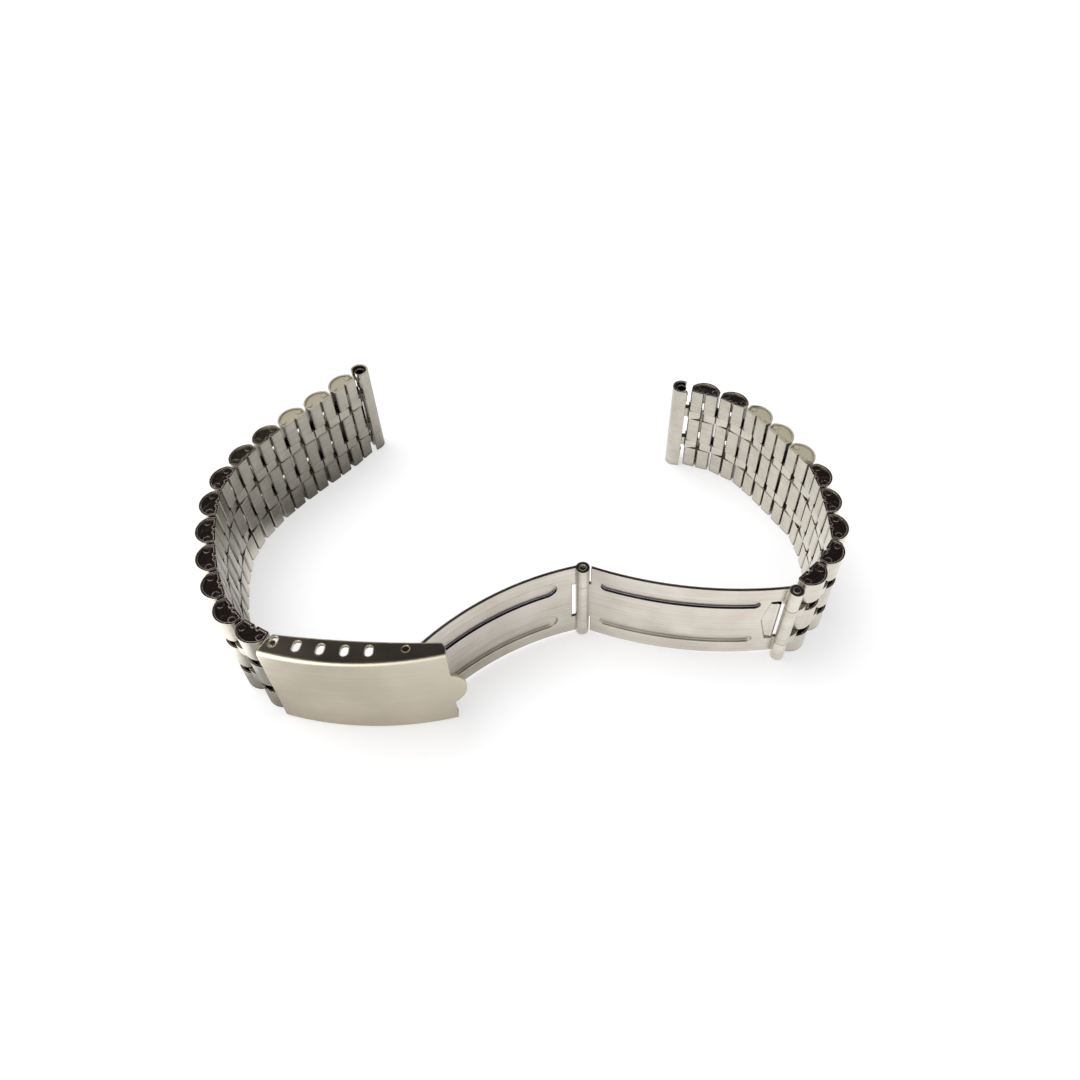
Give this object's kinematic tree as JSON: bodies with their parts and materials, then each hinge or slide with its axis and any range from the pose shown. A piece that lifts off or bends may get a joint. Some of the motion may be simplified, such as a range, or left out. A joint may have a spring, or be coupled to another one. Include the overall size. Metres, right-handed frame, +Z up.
{
  "type": "steel watch bracelet",
  "caption": "Steel watch bracelet of folded sheet links in brick pattern, standing on its long edge, its fold-over clasp open.",
  "frame": {"origin": "centre of the bounding box in plan, on the plane the bracelet stands on", "axes": "+Z up, across the bracelet and along every hinge pin; +X to the right along the clasp as seen from outside; -Y out of the clasp cover"},
  "size_m": [0.0984, 0.0596, 0.018],
  "materials": {
    "cover_steel": "brushed lengthwise",
    "link_steel": "satin with bright edges",
    "connector_steel": "satin",
    "blade_steel": "bright pressed sheet",
    "pin_steel": "turned",
    "pin_brass": "turned"
  },
  "bodies": {
    "clasp_cover": {"cover": "cover_steel", "hinge_pin": "pin_brass", "clasp_spring_bar": "pin_brass"},
    "inner_blade": {"blade_inner": "blade_steel", "knuckle_pin": "pin_steel"},
    "outer_blade": {"blade_end": "blade_steel", "end_knuckle_pin": "pin_steel"},
    "left_connector_01": {"left_connector_01": "connector_steel"},
    "left_link_01": {"left_link_01": "link_steel"},
    "left_connector_02": {"left_connector_02": "connector_steel"},
    "left_link_02": {"left_link_02": "link_steel"},
    "left_connector_03": {"left_connector_03": "connector_steel"},
    "left_link_03": {"left_link_03": "link_steel"},
    "left_connector_04": {"left_connector_04": "connector_steel"},
    "left_link_04": {"left_link_04": "link_steel"},
    "left_connector_05": {"left_connector_05": "connector_steel"},
    "left_link_05": {"left_link_05": "link_steel"},
    "left_connector_06": {"left_connector_06": "connector_steel"},
    "left_link_06": {"left_link_06": "link_steel"},
    "left_connector_07": {"left_connector_07": "connector_steel"},
    "left_link_07": {"left_link_07": "link_steel"},
    "left_connector_08": {"left_connector_08": "connector_steel"},
    "left_link_08": {"left_link_08": "link_steel"},
    "left_connector_09": {"left_connector_09": "connector_steel"},
    "left_link_09": {"left_link_09": "link_steel"},
    "left_connector_10": {"left_connector_10": "connector_steel"},
    "left_link_10": {"left_link_10": "link_steel"},
    "left_connector_11": {"left_connector_11": "connector_steel"},
    "left_link_11": {"left_link_11": "link_steel"},
    "left_connector_12": {"left_connector_12": "connector_steel"},
    "left_link_12": {"left_link_12": "link_steel"},
    "left_end_connector": {"left_end_connector": "connector_steel"},
    "knuckle_connector": {"knuckle_connector": "connector_steel"},
    "right_link_01": {"right_link_01": "link_steel"},
    "right_connector_01": {"right_connector_01": "connector_steel"},
    "right_link_02": {"right_link_02": "link_steel"},
    "right_connector_02": {"right_connector_02": "connector_steel"},
    "right_link_03": {"right_link_03": "link_steel"},
    "right_connector_03": {"right_connector_03": "connector_steel"},
    "right_link_04": {"right_link_04": "link_steel"},
    "right_connector_04": {"right_connector_04": "connector_steel"},
    "right_link_05": {"right_link_05": "link_steel"},
    "right_connector_05": {"right_connector_05": "connector_steel"},
    "right_link_06": {"right_link_06": "link_steel"},
    "right_connector_06": {"right_connector_06": "connector_steel"},
    "right_link_07": {"right_link_07": "link_steel"},
    "right_connector_07": {"right_connector_07": "connector_steel"},
    "right_link_08": {"right_link_08": "link_steel"},
    "right_connector_08": {"right_connector_08": "connector_steel"},
    "right_link_09": {"right_link_09": "link_steel"},
    "right_connector_09": {"right_connector_09": "connector_steel"},
    "right_link_10": {"right_link_10": "link_steel"},
    "right_end_connector": {"right_end_connector": "connector_steel"},
    "left_end": {"left_end_roll": "link_steel", "left_end_sleeve": "pin_steel"},
    "right_end": {"right_end_roll": "link_steel", "right_end_sleeve": "pin_steel"}
  },
  "joints": [
    {"name": "clasp_fold", "type": "hinge", "parent": "clasp_cover", "child": "inner_blade", "pos_m": [-0.01356, -0.02668, 0.009], "axis": [0, 0, 1], "range_deg": [-20, 124]},
    {"name": "clasp_knuckle", "type": "hinge", "parent": "inner_blade", "child": "outer_blade", "pos_m": [0.00945, -0.0109, 0.009], "axis": [0, 0, 1], "range_deg": [-124, 20]},
    {"name": "end_knuckle", "type": "hinge", "parent": "outer_blade", "child": "knuckle_connector", "pos_m": [0.04043, -0.01334, 0.009], "axis": [0, 0, -1], "range_deg": [-32.5, 79.5]},
    {"name": "left_pin_00", "type": "hinge", "parent": "clasp_cover", "child": "left_connector_01", "pos_m": [-0.03163, -0.0268, 0.009], "axis": [0, 0, 1], "range_deg": [-30, 11]},
    {"name": "left_pin_01", "type": "hinge", "parent": "left_connector_01", "child": "left_link_01", "pos_m": [-0.0336, -0.02608, 0.009], "axis": [0, 0, -1], "range_deg": [-36, 13.5]},
    {"name": "right_pin_01", "type": "hinge", "parent": "knuckle_connector", "child": "right_link_01", "pos_m": [0.04206, -0.01171, 0.009], "axis": [0, 0, -1], "range_deg": [-16.5, 33]},
    {"name": "right_pin_02", "type": "hinge", "parent": "right_link_01", "child": "right_connector_01", "pos_m": [0.0442, -0.00934, 0.009], "axis": [0, 0, 1], "range_deg": [-35, 14.5]},
    {"name": "left_end_turn", "type": "hinge", "parent": "left_end_connector", "child": "left_end", "pos_m": [-0.0316, 0.02826, 0.009], "axis": [0, 0, -1], "range_deg": [-25, 25]},
    {"name": "right_end_turn", "type": "hinge", "parent": "right_end_connector", "child": "right_end", "pos_m": [0.02402, 0.02819, 0.009], "axis": [0, 0, 1], "range_deg": [-25, 25]},
    {"name": "left_pin_02", "type": "hinge", "parent": "left_link_01", "child": "left_connector_02", "pos_m": [-0.03648, -0.02468, 0.009], "axis": [0, 0, 1], "range_deg": [-10.5, 39]},
    {"name": "left_pin_03", "type": "hinge", "parent": "left_connector_02", "child": "left_link_02", "pos_m": [-0.0382, -0.02347, 0.009], "axis": [0, 0, -1], "range_deg": [-40, 9.5]},
    {"name": "left_pin_04", "type": "hinge", "parent": "left_link_02", "child": "left_connector_03", "pos_m": [-0.04046, -0.02121, 0.009], "axis": [0, 0, 1], "range_deg": [-9.5, 40]},
    {"name": "left_pin_05", "type": "hinge", "parent": "left_connector_03", "child": "left_link_03", "pos_m": [-0.04167, -0.01949, 0.009], "axis": [0, 0, -1], "range_deg": [-36, 13.5]},
    {"name": "left_pin_06", "type": "hinge", "parent": "left_link_03", "child": "left_connector_04", "pos_m": [-0.04322, -0.01669, 0.009], "axis": [0, 0, 1], "range_deg": [-16.5, 33]},
    {"name": "left_pin_07", "type": "hinge", "parent": "left_connector_04", "child": "left_link_04", "pos_m": [-0.04414, -0.0148, 0.009], "axis": [0, 0, -1], "range_deg": [-34, 15.5]},
    {"name": "left_pin_08", "type": "hinge", "parent": "left_link_04", "child": "left_connector_05", "pos_m": [-0.04534, -0.01184, 0.009], "axis": [0, 0, 1], "range_deg": [-15.5, 34]},
    {"name": "left_pin_09", "type": "hinge", "parent": "left_connector_05", "child": "left_link_05", "pos_m": [-0.04599, -0.00984, 0.009], "axis": [0, 0, -1], "range_deg": [-33, 16.5]},
    {"name": "left_pin_10", "type": "hinge", "parent": "left_link_05", "child": "left_connector_06", "pos_m": [-0.04681, -0.00675, 0.009], "axis": [0, 0, 1], "range_deg": [-16.5, 33]},
    {"name": "left_pin_11", "type": "hinge", "parent": "left_connector_06", "child": "left_link_06", "pos_m": [-0.04725, -0.00469, 0.009], "axis": [0, 0, -1], "range_deg": [-34, 15.5]},
    {"name": "left_pin_12", "type": "hinge", "parent": "left_link_06", "child": "left_connector_07", "pos_m": [-0.0477, -0.00152, 0.009], "axis": [0, 0, 1], "range_deg": [-12.5, 37]},
    {"name": "left_pin_13", "type": "hinge", "parent": "left_connector_07", "child": "left_link_07", "pos_m": [-0.04773, 0.00057, 0.009], "axis": [0, 0, -1], "range_deg": [-42, 7.5]},
    {"name": "left_pin_14", "type": "hinge", "parent": "left_link_07", "child": "left_connector_08", "pos_m": [-0.04712, 0.00372, 0.009], "axis": [0, 0, 1], "range_deg": [-12.5, 37]},
    {"name": "left_pin_15", "type": "hinge", "parent": "left_connector_08", "child": "left_link_08", "pos_m": [-0.04647, 0.00571, 0.009], "axis": [0, 0, -1], "range_deg": [-36, 13.5]},
    {"name": "left_pin_16", "type": "hinge", "parent": "left_link_08", "child": "left_connector_09", "pos_m": [-0.04517, 0.00864, 0.009], "axis": [0, 0, 1], "range_deg": [-15.5, 34]},
    {"name": "left_pin_17", "type": "hinge", "parent": "left_connector_09", "child": "left_link_09", "pos_m": [-0.04419, 0.01049, 0.009], "axis": [0, 0, -1], "range_deg": [-34, 15.5]},
    {"name": "left_pin_18", "type": "hinge", "parent": "left_link_09", "child": "left_connector_10", "pos_m": [-0.04249, 0.0132, 0.009], "axis": [0, 0, 1], "range_deg": [-15.5, 34]},
    {"name": "left_pin_19", "type": "hinge", "parent": "left_connector_10", "child": "left_link_10", "pos_m": [-0.04126, 0.0149, 0.009], "axis": [0, 0, -1], "range_deg": [-30, 19.5]},
    {"name": "left_pin_20", "type": "hinge", "parent": "left_link_10", "child": "left_connector_11", "pos_m": [-0.03938, 0.01749, 0.009], "axis": [0, 0, 1], "range_deg": [-16.5, 33]},
    {"name": "left_pin_21", "type": "hinge", "parent": "left_connector_11", "child": "left_link_11", "pos_m": [-0.03805, 0.01912, 0.009], "axis": [0, 0, -1], "range_deg": [-27, 22.5]},
    {"name": "left_pin_22", "type": "hinge", "parent": "left_link_11", "child": "left_connector_12", "pos_m": [-0.03617, 0.02171, 0.009], "axis": [0, 0, 1], "range_deg": [-18.5, 31]},
    {"name": "left_pin_23", "type": "hinge", "parent": "left_connector_12", "child": "left_link_12", "pos_m": [-0.03491, 0.02339, 0.009], "axis": [0, 0, -1], "range_deg": [-24, 25.5]},
    {"name": "left_pin_24", "type": "hinge", "parent": "left_link_12", "child": "left_end_connector", "pos_m": [-0.03326, 0.02613, 0.009], "axis": [0, 0, 1], "range_deg": [-12.5, 37]},
    {"name": "right_pin_03", "type": "hinge", "parent": "right_connector_01", "child": "right_link_02", "pos_m": [0.04546, -0.00766, 0.009], "axis": [0, 0, -1], "range_deg": [-12.5, 37]},
    {"name": "right_pin_04", "type": "hinge", "parent": "right_link_02", "child": "right_connector_02", "pos_m": [0.04706, -0.00489, 0.009], "axis": [0, 0, 1], "range_deg": [-47, 2.5]},
    {"name": "right_pin_05", "type": "hinge", "parent": "right_connector_02", "child": "right_link_03", "pos_m": [0.04753, -0.00284, 0.009], "axis": [0, 0, -1], "range_deg": [-4.5, 45]},
    {"name": "right_pin_06", "type": "hinge", "parent": "right_link_03", "child": "right_connector_03", "pos_m": [0.04742, 0.00036, 0.009], "axis": [0, 0, 1], "range_deg": [-34, 15.5]},
    {"name": "right_pin_07", "type": "hinge", "parent": "right_connector_03", "child": "right_link_04", "pos_m": [0.0472, 0.00245, 0.009], "axis": [0, 0, -1], "range_deg": [-18.5, 31]},
    {"name": "right_pin_08", "type": "hinge", "parent": "right_link_04", "child": "right_connector_04", "pos_m": [0.04681, 0.00562, 0.009], "axis": [0, 0, 1], "range_deg": [-33, 16.5]},
    {"name": "right_pin_09", "type": "hinge", "parent": "right_connector_04", "child": "right_link_05", "pos_m": [0.04645, 0.00769, 0.009], "axis": [0, 0, -1], "range_deg": [-14.5, 35]},
    {"name": "right_pin_10", "type": "hinge", "parent": "right_link_05", "child": "right_connector_05", "pos_m": [0.04562, 0.01078, 0.009], "axis": [0, 0, 1], "range_deg": [-45, 4.5]},
    {"name": "right_pin_11", "type": "hinge", "parent": "right_connector_05", "child": "right_link_06", "pos_m": [0.04457, 0.0126, 0.009], "axis": [0, 0, -1], "range_deg": [-13.5, 36]},
    {"name": "right_pin_12", "type": "hinge", "parent": "right_link_06", "child": "right_connector_06", "pos_m": [0.04269, 0.01519, 0.009], "axis": [0, 0, 1], "range_deg": [-29, 20.5]},
    {"name": "right_pin_13", "type": "hinge", "parent": "right_connector_06", "child": "right_link_07", "pos_m": [0.04148, 0.01691, 0.009], "axis": [0, 0, -1], "range_deg": [-18.5, 31]},
    {"name": "right_pin_14", "type": "hinge", "parent": "right_link_07", "child": "right_connector_07", "pos_m": [0.0396, 0.0195, 0.009], "axis": [0, 0, 1], "range_deg": [-32, 17.5]},
    {"name": "right_pin_15", "type": "hinge", "parent": "right_connector_07", "child": "right_link_08", "pos_m": [0.03831, 0.02115, 0.009], "axis": [0, 0, -1], "range_deg": [-16.5, 33]},
    {"name": "right_pin_16", "type": "hinge", "parent": "right_link_08", "child": "right_connector_08", "pos_m": [0.03621, 0.02357, 0.009], "axis": [0, 0, 1], "range_deg": [-43, 6.5]},
    {"name": "right_pin_17", "type": "hinge", "parent": "right_connector_08", "child": "right_link_09", "pos_m": [0.03451, 0.0248, 0.009], "axis": [0, 0, -1], "range_deg": [-14.5, 35]},
    {"name": "right_pin_18", "type": "hinge", "parent": "right_link_09", "child": "right_connector_09", "pos_m": [0.03177, 0.02645, 0.009], "axis": [0, 0, 1], "range_deg": [-41, 8.5]},
    {"name": "right_pin_19", "type": "hinge", "parent": "right_connector_09", "child": "right_link_10", "pos_m": [0.0298, 0.02717, 0.009], "axis": [0, 0, -1], "range_deg": [-15.5, 34]},
    {"name": "right_pin_20", "type": "hinge", "parent": "right_link_10", "child": "right_end_connector", "pos_m": [0.02672, 0.02805, 0.009], "axis": [0, 0, 1], "range_deg": [-43, 6.5]}
  ],
  "couplings": [
    {"joint": "clasp_knuckle", "follows": "clasp_fold", "ratio": -1}
  ]
}
